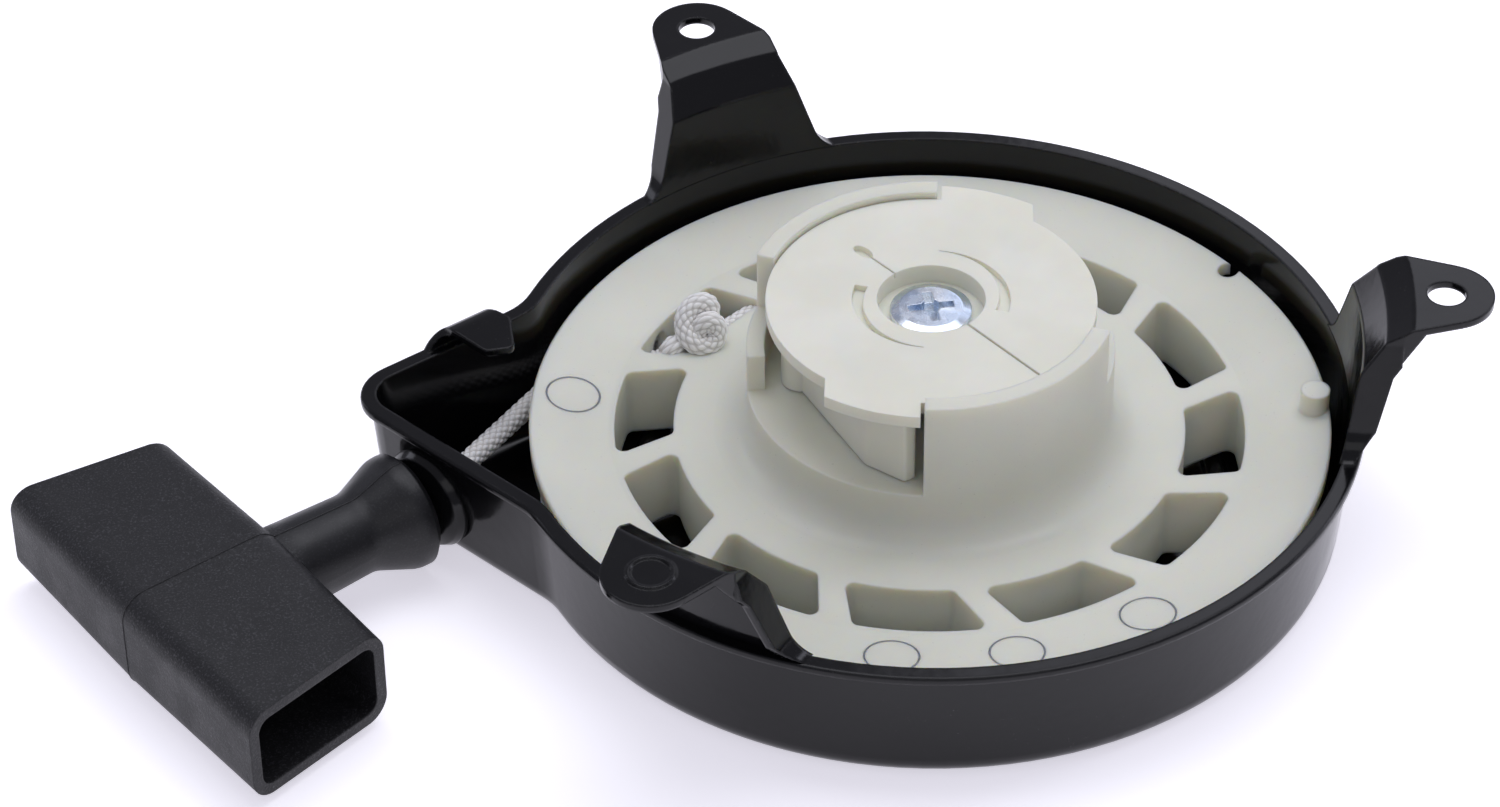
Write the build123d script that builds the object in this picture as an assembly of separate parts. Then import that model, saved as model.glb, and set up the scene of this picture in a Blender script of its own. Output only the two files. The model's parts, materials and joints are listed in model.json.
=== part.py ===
from build123d import *

import os
from math import atan2, cos, degrees, hypot, radians, sin, sqrt

# Recoil starter, in millimetres and degrees. +Z is up, along the pulley's axis, and the origin
# is on that axis at the housing's resting face. +X runs from the axis to the first mounting ear.

# Pressed steel housing
SHEET = 1.4
RIM_Z = 26.8
WALL_R = 78.0
WALL_TAPER = 4.5
BOTTOM_BEND = 5.0
LIP = 1.6
OUTLET_APEX = (-106.6, -4.4)
OUTLET_BACK = (129.3, 64.1)
OUTLET_FRONT = (229.7, 72.3)
OUTLET_CORNER_R = 7.5
OUTLET_BLEND_R = 14.0
CENTRE_RISE = 1.6
CENTRE_RISE_R = 17.0
FLOOR_BEAD_R = 54.0

# Mounting ears
EARS = {"ear_first": (0.0, True), "ear_second": (120.0, True), "ear_third": (240.0, False)}
BOLT_R = 92.2
BOLT_HOLE_R = 3.5
EAR_TOP_Z = 50.0
EAR_TIP_R = 8.6
EAR_HALF = 12.0
LEG_BASE_HALF = 18.0
EAR_FOOT_Z = 26.3
TAB_FAR = 55.4
TAB_NEAR = 63.6
TAB_BASE = 67.2

# Rope outlet and grip
ROPE_R = 2.0
ROPE_Z = 12.0
EYELET_ALONG = -58.7
EYELET_HOLE_R = 6.0
PULL_ANGLE = 220.5
GRIP_GAP = 4.7
STEM_LENGTH = 28.1
STEM_FLARE_R = 11.0
STEM_WAIST_R = 7.7
STEM_ROOT_R = 8.4
STEM_BORE_R = 2.4
BAR_DEPTH = 33.0
BAR_OUTER_LENGTH = 78.0
BAR_INNER_LENGTH = 67.0
BAR_HEIGHT = 21.0
BAR_CORNER_R = 5.0
BAR_DRAFT = 0.8
BAR_WALL = 3.0

# Pulley
RIM_R = 73.5
RIM_TOP_Z = 20.6
RING_Z = 18.4
FLANGE = 2.8
GROOVE_FLOOR_R = 59.7
GROOVE_LOW_Z = 6.8
GROOVE_HIGH_Z = 15.2
PULLEY_LOW_Z = 4.0
WINDOW_IN_R = 47.0
WINDOW_OUT_R = 57.9
WINDOWS = 12
WINDOW_START = 11.9
WINDOW_SPAN = 24.0
WINDOW_SLANT = 5.3
HUB_R = 33.5
HUB_IN_R = 30.2
HUB_BLEND_R = 6.0
SHELF_Z = 28.6
LOW_WALL_Z = 36.5
WALL_TOP_Z = 48.4
OPEN_START = 188.0
OPEN_END = 268.6
LOW_START = 162.0
SPRING_CAVITY_R = 44.8
SPRING_CAVITY_Z = 15.4
BOSS_R = 11.0
BOSS_Z = 36.0

# Centre post and retaining screw
POST_R = 6.0
ARBOR_R = 8.0
ARBOR_TOP_Z = 14.6
WASHER_R = 8.8
POST_TOP_Z = 40.6
RUNNING = 0.05
SHANK_R = 3.0
HEAD_R = 7.4
HEAD_LOW_Z = 43.3
HEAD_EDGE_Z = 44.6
HEAD_TOP_Z = 45.4
CROSS_WIDTH = 1.8

# Friction plate
PLATE_R = 29.9
PLATE_TOP_Z = 47.0
PLATE_THICK = 2.4
PIT_DEPTH = 1.2
TAB_R = 34.0
CUP_R = 9.8
CUP_LOW_Z = 41.6

# Pawls
PAWL_PIVOT = (-23.3, -1.2)
PAWL_TIP = (-3.6, -29.0)
PAWL_ARM = [(-24.8, -2.1), (-11.3, -25.2), (-4.2, -29.9), (-2.2, -28.6), (-4.5, -20.5), (-19.6, -1.6)]
PIVOT_PIN_R = 1.9
PAWL_HEAD_R = 3.8
PAWL_LOW_Z = 28.9
PAWL_HIGH_Z = 44.2
PAWL_SWING = 22.0
PEG_R = 1.3
PEG_REACH = 13.0

# Rope on the drum and its inner end
LAYERS = 2
ROWS = 2
WINDING_OUT_R = 67.2
RUN_RADIUS = 69.5
LAST_TURN = 160.0
KNOT = (-43.6, 24.0, 20.6)
LEAD = [(-44.6, 24.5, 18.6), (-50.0, 26.6, 14.4), (-55.4, 28.4, 11.4)]
TAIL = [(-41.0, 26.4, 21.2), (-35.8, 30.2, 20.9), (-29.4, 33.6, 20.8)]

# Recoil spring
STRIP = 0.6
STRIP_WIDTH = 9.2
SPRING_LOW_Z = 5.2
SPRING_IN_R = 9.4
SPRING_PITCH = 3.1
SPRING_TURNS = 11
SPRING_END = 8.9

# Brake spring
WIRE_R = 0.6
COIL_R = 8.0
COIL_TURNS = 3


def polar(radius, angle, z=None):
    point = (radius * cos(radians(angle)), radius * sin(radians(angle)))
    return point if z is None else (*point, z)


def ring(outer, inner, low, high):
    """A plain tube about Z."""
    flat = Circle(outer) - Circle(inner) if inner else Circle(outer)
    return Pos(0, 0, low) * extrude(flat, high - low)


def turned(points):
    """A solid of revolution about Z from (radius, height) corners."""
    return revolve(make_face(Plane.XZ * Polyline(*points, close=True)), Axis.Z)


def opposite(shape):
    return Rot(0, 0, 180) * shape


def circle_meeting(line, side):
    """Where an outlet wall, given as (normal angle, distance), crosses the wall circle."""
    return polar(WALL_R, line[0] + side * degrees(acos_ratio(line[1], WALL_R)))


def acos_ratio(adjacent, hypotenuse):
    return atan2(sqrt(hypotenuse**2 - adjacent**2), adjacent)


def housing_plan(grow):
    """Plan of the housing wall: a circle with one corner that reaches out to the rope outlet."""
    back = circle_meeting(OUTLET_BACK, 1)
    front = circle_meeting(OUTLET_FRONT, -1)
    plan = Circle(WALL_R) + Polygon((0, 0), back, OUTLET_APEX, front, align=None)
    apex = plan.vertices().sort_by_distance(OUTLET_APEX)[0]
    plan = fillet(apex, OUTLET_CORNER_R)
    feet = [plan.vertices().sort_by_distance(foot)[0] for foot in (back, front)]
    plan = fillet(feet, OUTLET_BLEND_R)
    return offset(plan, grow) if grow else plan


def dish(grow, low, bend):
    """The housing's filled shape: its plan drawn in towards a rounded bottom edge."""
    draw_in = (RIM_Z - low) * sin(radians(WALL_TAPER))
    body = Pos(0, 0, low) * extrude(housing_plan(grow - draw_in), RIM_Z - low, taper=-WALL_TAPER)
    return fillet(body.edges().group_by(Axis.Z)[0], bend)


def leg_side(grow=0):
    """The leg seen along its radius, with round feet that run into the rim."""
    foot_z = RIM_Z - 0.6
    half = EAR_HALF - 0.4
    right = [(30, 15), (30, foot_z), (LEG_BASE_HALF, foot_z), (half, 47), (half, 60)]
    left = [(-y, z) for y, z in reversed(right)]
    outline = Polygon(*right, *left, align=None)
    feet = [v for v in outline.vertices() if abs(abs(v.X) - LEG_BASE_HALF) < 0.1]
    outline = fillet(feet, 7.0)
    return offset(outline, grow) if grow else outline


def ear_plan():
    """The ear seen from above: free over the leg, then a tapered plate with a round end."""
    shoulder, tip = EAR_HALF - 0.4, EAR_TIP_R - 0.3
    left = [(55, 35), (84, 35), (84, shoulder), (BOLT_R + 2.4, tip)]
    right = [(x, -y) for x, y in left]
    return Polygon(*right, *reversed(left), align=None) + Pos(BOLT_R, 0) * Circle(EAR_TIP_R)


def bent_sheet(run):
    """A third of a turn of sheet metal that follows (radius, height) points."""
    strip = Plane.XZ * trace(FilletPolyline(*run, radius=1.2), line_width=SHEET)
    return Rot(0, 0, -30) * revolve(strip, Axis.Z, 60)


def ear_flanges():
    """Side flanges of an ear: bent outward along both edges of its leg, from the lip to the plate."""
    inside = [(86.4, EAR_TOP_Z - SHEET / 2), (82.2, 47.0), (78.4, 41.5), (76.8, EAR_FOOT_Z)]
    lip_r = WALL_R + LIP - 0.7
    outside = [(lip_r, EAR_FOOT_Z), (lip_r, RIM_Z), (81.6, 31.0), (83.6, 41.0), (88.6, EAR_TOP_Z - SHEET)]
    face = Plane.XZ * Polygon(*inside, *outside, align=None)
    band = Rot(0, 0, -30) * revolve(face, Axis.Z, 60)
    edges = extrude(Plane.YZ * leg_side(), 120) - extrude(Plane.YZ * leg_side(-SHEET), 120)
    return band & edges & extrude(ear_plan(), 60)


def ear():
    """One mounting ear, drawn at angle 0: a leg that rises from the wall and bends outward."""
    mid_top = EAR_TOP_Z - SHEET / 2
    run = [(75.9, 18.0), (78.4, 41.5), (82.2, 47.0), (86.4, mid_top), (104.0, mid_top)]
    leg = extrude(Plane.YZ * leg_side(), 120)
    sheet = bent_sheet(run) & leg & extrude(ear_plan(), 60)
    sheet -= ring(WALL_R - SHEET, 0, 0, RIM_Z) + ring(WALL_R + 30, 0, 0, EAR_FOOT_Z)
    return sheet + ear_flanges()


def mounting_ear(angle, has_hole):
    """An ear whose foot is let into the rim, with a bolt hole or else a raised ring."""
    if has_hole:
        body = ear() - Pos(BOLT_R, 0, 40) * Cylinder(BOLT_HOLE_R, 30)
    else:
        body = ear() + Pos(BOLT_R, 0, 0) * ring(4.3, 3.5, EAR_TOP_Z - 0.1, EAR_TOP_Z + 0.35)
    return Rot(0, 0, angle) * body


def hook_tab():
    """The curled tab on the rim behind the outlet: it rises, curls inward and ends in a slanted nose."""
    distance = OUTLET_BACK[1] - SHEET / 2
    run = FilletPolyline((distance, 20), (distance + 2.4, 31.8), (distance - 16.0, 30.6), radius=4.0)
    strip = Pos(0, 70, 0) * extrude(Plane.XZ * trace(run, line_width=SHEET), 20)
    riser = Polygon((TAB_BASE, 18), (TAB_BASE, RIM_Z), (TAB_NEAR, 31.2), (TAB_NEAR, 40), (50, 40), (50, 29.0),
                    (TAB_FAR, 29.0), (TAB_FAR, 18), align=None)
    nose = [(52.9, 61.8), (50.7, 56.8), (58.0, 52.6)]
    plan = Polygon((80, 70), (61.5, 70), (61.5, TAB_NEAR), *nose, (66.0, TAB_FAR), (80, TAB_FAR), align=None)
    plan = fillet([plan.vertices().sort_by_distance(corner)[0] for corner in nose], 1.6)
    tab = strip & extrude(Plane.YZ * riser, 120) & extrude(plan, 60)
    return Rot(0, 0, OUTLET_BACK[0]) * tab


def eyelet_place():
    """Centre of the rope outlet, on the outer face of its wall."""
    angle, distance = OUTLET_FRONT
    distance -= (RIM_Z - ROPE_Z) * sin(radians(WALL_TAPER))
    out, side = Vector(*polar(1, angle)), Vector(*polar(1, angle + 90))
    return out * distance + side * EYELET_ALONG + Vector(0, 0, ROPE_Z)


def at_eyelet(shape, heading=OUTLET_FRONT[0]):
    """Place a shape drawn on +X at the rope outlet."""
    place = eyelet_place()
    return Pos(place.X, place.Y, place.Z) * Rot(0, 0, heading) * shape


def housing_pan():
    outside = dish(0, 0, BOTTOM_BEND)
    inside = dish(-SHEET, SHEET, BOTTOM_BEND - SHEET)
    pan = outside - inside
    lip = Pos(0, 0, RIM_Z - SHEET) * extrude(housing_plan(LIP) - housing_plan(-SHEET / 2), SHEET)
    lip = fillet(lip.edges().group_by(Axis.Z)[-1], 0.55)
    pan += lip
    pan += ring(CENTRE_RISE_R, 0, SHEET, SHEET + CENTRE_RISE)
    pan -= ring(CENTRE_RISE_R - SHEET, 0, 0, CENTRE_RISE)
    above = Rectangle(200, 10, align=(Align.CENTER, Align.MIN))
    pan += revolve(Plane.XZ * ((Pos(FLOOR_BEAD_R, 0.4) * Circle(2.6)) & above), Axis.Z)
    pan -= revolve(Plane.XZ * ((Pos(FLOOR_BEAD_R, 0.2) * Circle(1.4)) & above), Axis.Z)
    pan += hook_tab()
    pan -= at_eyelet(Rot(0, 90, 0) * Cylinder(EYELET_HOLE_R, 12))
    pan -= ring(POST_R - 1.0, 0, 0, 10)
    return pan


def rope_eyelet():
    """A rolled steel grommet in the outlet wall; +X is outward."""
    barrel = EYELET_HOLE_R - 0.05
    section = [(3.0, 2.6), (3.6, 3.4), (4.8, 3.7), (7.0, 3.3), (9.0, 2.2), (9.8, 0.9), (9.8, 0.1),
               (barrel, 0.1), (barrel, -1.7), (7.4, -1.7), (7.4, -2.6), (4.0, -2.9), (3.0, -2.2)]
    face = make_face(Plane.XY * Polyline(*[(x, r) for r, x in section], close=True))
    return at_eyelet(revolve(face, Axis.X))


def centre_post():
    """Stepped post, riveted through the housing's raised centre and tapped for the screw."""
    foot_z = SHEET + CENTRE_RISE + 0.05
    neck = POST_R - 1.05
    post = turned([(0, 0), (8.0, 0), (8.0, 1.5), (neck, 1.5), (neck, foot_z), (ARBOR_R, foot_z),
                   (ARBOR_R, ARBOR_TOP_Z), (POST_R, ARBOR_TOP_Z), (POST_R, POST_TOP_Z), (0, POST_TOP_Z)])
    slot = Pos(7.0, 0, 10.0) * Box(5.0, STRIP + 0.2, STRIP_WIDTH + 1.0)
    return post - ring(SHANK_R - 0.6, 0, 22, POST_TOP_Z) - Rot(0, 0, SPRING_END) * slot


def thrust_washer():
    return ring(WASHER_R, POST_R + RUNNING, ARBOR_TOP_Z, SPRING_CAVITY_Z - 0.1)


def retaining_screw():
    """Pan-head screw with a cross recess; its shank fills the post's thread."""
    head = turned([(0, HEAD_LOW_Z), (HEAD_R - 0.4, HEAD_LOW_Z), (HEAD_R, HEAD_LOW_Z + 0.4),
                   (HEAD_R, HEAD_EDGE_Z), (HEAD_R - 1.6, HEAD_TOP_Z - 0.25), (0, HEAD_TOP_Z)])
    shoulder = ring(SHANK_R, 0, POST_TOP_Z + 0.02, HEAD_LOW_Z)
    thread = ring(SHANK_R - 0.65, 0, 23.0, POST_TOP_Z + 0.02)
    recess = cross_recess(8.4, 1.5) + cross_recess(5.2, 2.8)
    return head + shoulder + thread - Rot(0, 0, 12) * recess


def cross_recess(across, depth):
    cross = Rectangle(across, CROSS_WIDTH) + Rectangle(CROSS_WIDTH, across) + Circle(CROSS_WIDTH)
    return Pos(0, 0, HEAD_TOP_Z - depth) * extrude(cross, 5)


def window(index):
    """One slanted opening between the hub ring and the rope groove."""
    start = WINDOW_START + index * 360 / WINDOWS
    inner = [polar(WINDOW_IN_R, start + a) for a in (0, WINDOW_SPAN / 2, WINDOW_SPAN)]
    outer = [polar(WINDOW_OUT_R, start + WINDOW_SLANT + a) for a in (WINDOW_SPAN, WINDOW_SPAN / 2, 0)]
    edges = [ThreePointArc(*inner), Line(inner[2], outer[0]), ThreePointArc(*outer), Line(outer[2], inner[0])]
    flat = make_face(edges)
    return extrude(fillet(flat.vertices(), 1.6), 40)


def sector(inner, outer, start, end, low, high):
    """A block that spans two radii, two angles and two heights."""
    middle = (start + end) / 2
    near = [polar(inner, a) for a in (start, middle, end)]
    far = [polar(outer, a) for a in (end, middle, start)]
    flat = make_face([ThreePointArc(*near), Line(near[2], far[0]), ThreePointArc(*far), Line(far[2], near[0])])
    return Pos(0, 0, low) * extrude(flat, high - low)


def pulley_body():
    bore = POST_R + RUNNING
    return turned([
        (bore, SPRING_CAVITY_Z), (BOSS_R, SPRING_CAVITY_Z), (BOSS_R, 25.4), (28.0, 25.4),
        (28.0, SPRING_CAVITY_Z), (SPRING_CAVITY_R, SPRING_CAVITY_Z), (SPRING_CAVITY_R, PULLEY_LOW_Z),
        (RIM_R - 1.5, PULLEY_LOW_Z), (RIM_R - 1.5, PULLEY_LOW_Z + 1.0),
        (GROOVE_FLOOR_R, GROOVE_LOW_Z), (GROOVE_FLOOR_R, GROOVE_HIGH_Z),
        (RIM_R, RIM_TOP_Z - FLANGE), (RIM_R, RIM_TOP_Z - 0.4), (RIM_R - 0.4, RIM_TOP_Z),
        (WINDOW_OUT_R + 1.0, RING_Z), (HUB_R, RING_Z), (HUB_R, WALL_TOP_Z), (HUB_IN_R, WALL_TOP_Z),
        (HUB_IN_R, SHELF_Z), (BOSS_R, SHELF_Z), (BOSS_R, BOSS_Z), (bore, BOSS_Z)])


def pulley():
    """Drum, flange, windows and hub in one moulding, with pockets for the two pawls."""
    body = pulley_body()
    round_edges = body.edges().filter_by(GeomType.CIRCLE)
    foot = [e for e in round_edges if abs(e.radius - HUB_R) < 0.01 and abs(e.arc_center.Z - RING_Z) < 0.01]
    body = fillet(foot, HUB_BLEND_R)
    for index in range(WINDOWS):
        body -= window(index)
    for turn in (0, 180):
        body -= sector(HUB_IN_R - 2, HUB_R + 2, OPEN_START + turn, OPEN_END + turn, SHELF_Z, 60)
        body -= sector(HUB_IN_R - 2, HUB_R + 2, LOW_START + turn, OPEN_START + 1 + turn, LOW_WALL_Z, 60)
        pin = Pos(*PAWL_PIVOT, SHELF_Z - 0.5) * extrude(Circle(PIVOT_PIN_R), PAWL_HIGH_Z - SHELF_Z + 0.3)
        body += Rot(0, 0, turn) * pin
    body += Pos(*polar(RIM_R - 2.8, 3.0), RIM_TOP_Z - 1.5) * extrude(Circle(2.7), 5.4)
    body -= Pos(*polar(RIM_R - 1.6, 38.3), 10) * extrude(Circle(2.0), 20)
    body -= sector(RIM_R - 2.2, RIM_R + 2, 36.9, 39.2, 10, 30)
    lead_hole = Plane(LEAD[1], z_dir=Vector(*LEAD[2]) - Vector(*LEAD[1]))
    body -= lead_hole * extrude(Circle(ROPE_R + 0.5), 14)
    notch = Pos(SPRING_CAVITY_R + 1.4, 0, 9.7) * Box(4.6, STRIP + 1.0, 11.4)
    return body - Rot(0, 0, SPRING_END) * notch


def pawl():
    """One pawl, drawn at the front left: a round head on the pivot pin and a wedge-shaped arm."""
    arm = Polygon(*PAWL_ARM, align=None)
    bend, nose, corner = [arm.vertices().sort_by_distance(point)[0] for point in PAWL_ARM[1:4]]
    arm = fillet([nose, corner], 0.8)
    arm = fillet(arm.vertices().sort_by_distance(bend)[0], 3.0)
    arm += Pos(*PAWL_PIVOT) * Circle(PAWL_HEAD_R)
    arm -= Pos(*PAWL_PIVOT) * Circle(PIVOT_PIN_R + RUNNING)
    body = Pos(0, 0, PAWL_LOW_Z) * extrude(arm, PAWL_HIGH_Z - PAWL_LOW_Z)
    peg = peg_place()
    return body + Pos(peg.X, peg.Y, PAWL_HIGH_Z - 0.5) * extrude(Circle(PEG_R), 1.7)


def peg_place(swing=0.0, plate_turn=0.0):
    """Where the pawl's peg is, seen from a friction plate that has turned."""
    pivot, tip = Vector(*PAWL_PIVOT), Vector(*PAWL_TIP)
    arm = (tip - pivot).normalized() * PEG_REACH
    return (pivot + arm.rotate(Axis.Z, swing)).rotate(Axis.Z, -plate_turn)


def crescent(start):
    """Outline of a pit round the centre that is wide at its start and runs out to nothing."""
    outer = [polar(14.3, start + a) for a in (0, 50, 100)]
    inner = [polar(14.15, start + 100), polar(13.1, start + 50), polar(11.9, start)]
    edges = [ThreePointArc(*outer), Line(outer[2], inner[0]), ThreePointArc(*inner), Line(inner[2], outer[0])]
    return make_face(edges)


def friction_plate():
    """Split disc with two tabs, held under the screw head, with a groove for each pawl's peg."""
    low = PLATE_TOP_Z - PLATE_THICK
    tabs = Circle(TAB_R) & (Pos(-10.0, -27) * Rectangle(17.0, 24) + Pos(10.0, 27) * Rectangle(17.0, 24))
    flat = Circle(PLATE_R) + tabs - Circle(CUP_R)
    flat -= Rot(0, 0, 312) * Pos(20, 0) * Rectangle(26, 0.5)
    plate = Pos(0, 0, low) * extrude(flat, PLATE_THICK)
    teardrop = Rot(0, 0, 133) * (Pos(12, 0) * Rectangle(12, 0.4) + Pos(18.4, 0) * Ellipse(2.3, 1.2))
    plate -= Pos(0, 0, PLATE_TOP_Z - PIT_DEPTH) * extrude(crescent(165) + crescent(-15) + teardrop, 5)
    plate += ring(CUP_R + 1.4, CUP_R, CUP_LOW_Z, low)
    plate += ring(CUP_R + 1.4, SHANK_R + RUNNING, CUP_LOW_Z, CUP_LOW_Z + 1.6)
    start, end = peg_place(), peg_place(-PAWL_SWING, -PAWL_SWING)
    centre = (start + end) / 2
    heading = degrees(atan2((end - start).Y, (end - start).X))
    slot = SlotOverall((end - start).length + 2 * PEG_R + 1.2, 2 * PEG_R + 1.0, rotation=heading)
    groove = Pos(centre.X, centre.Y, low - 0.1) * extrude(slot, 1.5)
    return plate - groove - opposite(groove)


def brake_spring():
    height = CUP_LOW_Z - BOSS_Z - 2 * WIRE_R - 0.2
    path = Helix(pitch=height / COIL_TURNS, height=height, radius=COIL_R)
    wire = sweep(Plane(path @ 0, z_dir=path % 0) * Circle(WIRE_R), path, is_frenet=True)
    return Pos(0, 0, BOSS_Z + WIRE_R + 0.1) * wire


def spiral_side(shift):
    """Half-turn arcs about two centres, each half a pitch larger than the last."""
    arcs = []
    for half in range(2 * SPRING_TURNS):
        centre = SPRING_PITCH / 2 * (half % 2)
        radius = SPRING_IN_R + shift + half * SPRING_PITCH / 2
        side = -1 if half % 2 else 1
        start, end = (centre + side * radius, 0), (centre - side * radius, 0)
        arcs.append(ThreePointArc(start, (centre, side * radius), end))
    return arcs


def recoil_spring():
    """Flat strip spring: its inner tail sits in the post's slot and its outer tail in the drum."""
    inner, outer = spiral_side(-STRIP / 2), spiral_side(STRIP / 2)
    start = Line(inner[0] @ 0, outer[0] @ 0)
    end = Line(inner[-1] @ 1, outer[-1] @ 1)
    flat = make_face(inner + outer + [start, end])
    out = SPRING_IN_R + SPRING_TURNS * SPRING_PITCH
    flat += Pos((4.8 + SPRING_IN_R) / 2, 0) * Rectangle(SPRING_IN_R - 4.8 + STRIP, STRIP)
    flat += Pos(out + 1.4, 0) * Rectangle(3.0 + STRIP, STRIP)
    return Rot(0, 0, SPRING_END) * Pos(0, 0, SPRING_LOW_Z) * extrude(flat, STRIP_WIDTH)


def spring_keeper():
    """Thin steel ring that holds the spring in the drum."""
    return ring(SPRING_CAVITY_R - 0.05, 14.0, PULLEY_LOW_Z, PULLEY_LOW_Z + 0.6)


def rope_winding():
    """The wound rope: rows and layers of turns as one ring with a scalloped section."""
    section = None
    for layer in range(LAYERS):
        for row in range(ROWS):
            spot = Pos(WINDING_OUT_R - ROPE_R + 0.15 - layer * 3.65, GROOVE_LOW_Z + 2.2 + row * 3.9)
            dot = spot * Circle(ROPE_R)
            section = dot if section is None else section + dot
    core = Pos(WINDING_OUT_R - 3.7, GROOVE_LOW_Z + 4.15) * Rectangle(4.0, 4.0)
    return revolve(Plane.XZ * (section + core), Axis.Z)


def run_start():
    """Angle at which the rope leaves the drum for the eyelet."""
    place = eyelet_place()
    reach = hypot(place.X, place.Y)
    return degrees(atan2(place.Y, place.X)) - degrees(acos_ratio(RUN_RADIUS, reach))


def cord(points, radii):
    """A round cord along straight runs joined by arcs."""
    route = FilletPolyline(*points, radius=radii) if radii else Polyline(*points)
    return sweep(Plane(route @ 0, z_dir=route % 0) * Circle(ROPE_R), route)


def rope_last_turn():
    """The outermost part turn, from the drum to the point where the rope leaves it."""
    dot = Plane.XZ * (Pos(RUN_RADIUS, ROPE_Z) * Circle(ROPE_R))
    return Rot(0, 0, run_start() - LAST_TURN) * revolve(dot, Axis.Z, LAST_TURN)


def rope_run():
    """The straight run from the drum, through the eyelet, into the grip's stem."""
    pull = Vector(*polar(1, PULL_ANGLE))
    points = [Vector(*polar(RUN_RADIUS, run_start(), ROPE_Z)), eyelet_place(),
              eyelet_place() + pull * (GRIP_GAP + 2.5)]
    return cord(points, [18.0])


def rope_grip_end():
    start, knot = GRIP_GAP + 2.6, knot_reach()
    rod = Pos(start, 0, 0) * Rot(0, 90, 0) * extrude(Circle(ROPE_R), knot - start)
    return at_eyelet(rod, PULL_ANGLE)


def knot_reach():
    return GRIP_GAP + STEM_LENGTH + BAR_WALL + 4.4


def knot_shape():
    """Envelope of an overhand knot: three lobes."""
    lobes = [Rot(0, 0, 120 * k) * Pos(2.4, 0, 0) * Sphere(3.3) for k in range(3)]
    return lobes[0] + lobes[1] + lobes[2]


def rope_grip_knot():
    return at_eyelet(Pos(knot_reach(), 0, 0) * Rot(0, 90, 0) * knot_shape(), PULL_ANGLE)


def rope_knot():
    return Pos(*KNOT) * Rot(15, -10, 30) * knot_shape()


def grip():
    """Hollow bar handle with a flared stem, drawn along +X from the eyelet."""
    near, far = GRIP_GAP, GRIP_GAP + STEM_LENGTH
    profile = [(near, 0), (near, STEM_FLARE_R - 1.2), (near + 1.2, STEM_FLARE_R), (near + 3.4, STEM_FLARE_R),
               (near + 11.5, STEM_WAIST_R), (far + 2.0, STEM_ROOT_R), (far + 2.0, 0)]
    outline = make_face(Polyline(*profile, close=True))
    corners = [v for v in outline.vertices() if near + 3 < v.X < near + 12 and v.Y > 1]
    stem = revolve(fillet(corners, 6.0), Axis.X)
    body = stem + bar()
    inner_corner_r = BAR_CORNER_R - BAR_WALL + 0.6
    hollow = RectangleRounded(BAR_DEPTH - 2 * BAR_WALL, BAR_HEIGHT - 2 * BAR_WALL, inner_corner_r)
    centre = far + BAR_DEPTH / 2
    body -= Plane.XZ.offset(-BAR_OUTER_LENGTH) * Pos(centre, 0) * extrude(hollow, 2 * BAR_OUTER_LENGTH)
    body -= Rot(0, 90, 0) * extrude(Circle(STEM_BORE_R), centre)
    return at_eyelet(body, PULL_ANGLE)


def bar():
    """The solid bar: it narrows a little from its parting line, and its end faces slant."""
    near = GRIP_GAP + STEM_LENGTH
    far = near + BAR_DEPTH
    inner, outer = BAR_INNER_LENGTH / 2, BAR_OUTER_LENGTH / 2
    plan = Polygon((near, -inner), (far, -outer), (far, outer), (near, inner), align=None)
    halves = bar_half((near + far) / 2, 1) + bar_half((near + far) / 2, -1)
    return halves & (Pos(0, 0, -BAR_HEIGHT) * extrude(plan, 2 * BAR_HEIGHT))


def bar_half(centre, side):
    wide = RectangleRounded(BAR_DEPTH, BAR_HEIGHT, BAR_CORNER_R)
    slim = RectangleRounded(BAR_DEPTH - 2 * BAR_DRAFT, BAR_HEIGHT - 2 * BAR_DRAFT, BAR_CORNER_R - 0.4)
    middle = Plane.XZ * Pos(centre, 0) * wide
    end = Plane.XZ.offset(side * BAR_OUTER_LENGTH / 2) * Pos(centre, 0) * slim
    return loft([middle, end], ruled=True)


def save(name, shape):
    export_step(shape, os.path.join("parts", name + ".step"))


def main():
    os.makedirs("parts", exist_ok=True)
    save("housing_pan", housing_pan())
    for name, (angle, has_hole) in EARS.items():
        save(name, mounting_ear(angle, has_hole))
    save("rope_eyelet", rope_eyelet())
    save("centre_post", centre_post())
    save("thrust_washer", thrust_washer())
    save("retaining_screw", retaining_screw())
    save("recoil_spring", recoil_spring())
    save("spring_keeper", spring_keeper())
    save("pulley", pulley())
    save("pawl_front", pawl())
    save("pawl_back", opposite(pawl()))
    save("brake_spring", brake_spring())
    save("friction_plate", friction_plate())
    save("rope_winding", rope_winding())
    save("rope_last_turn", rope_last_turn())
    save("rope_run", rope_run())
    save("rope_lead", cord(LEAD, [6.0]))
    save("rope_knot", rope_knot())
    save("rope_tail", cord(TAIL, [12.0]))
    save("grip", grip())
    save("rope_grip_end", rope_grip_end())
    save("rope_grip_knot", rope_grip_knot())


if __name__ == "__main__":
    main()
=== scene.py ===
import json
from math import acos, atan2, cos, hypot, pi, radians, sin

import bpy
import numpy as np
from mathutils import Matrix, Quaternion, Vector
from mathutils.bvhtree import BVHTree


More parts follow.
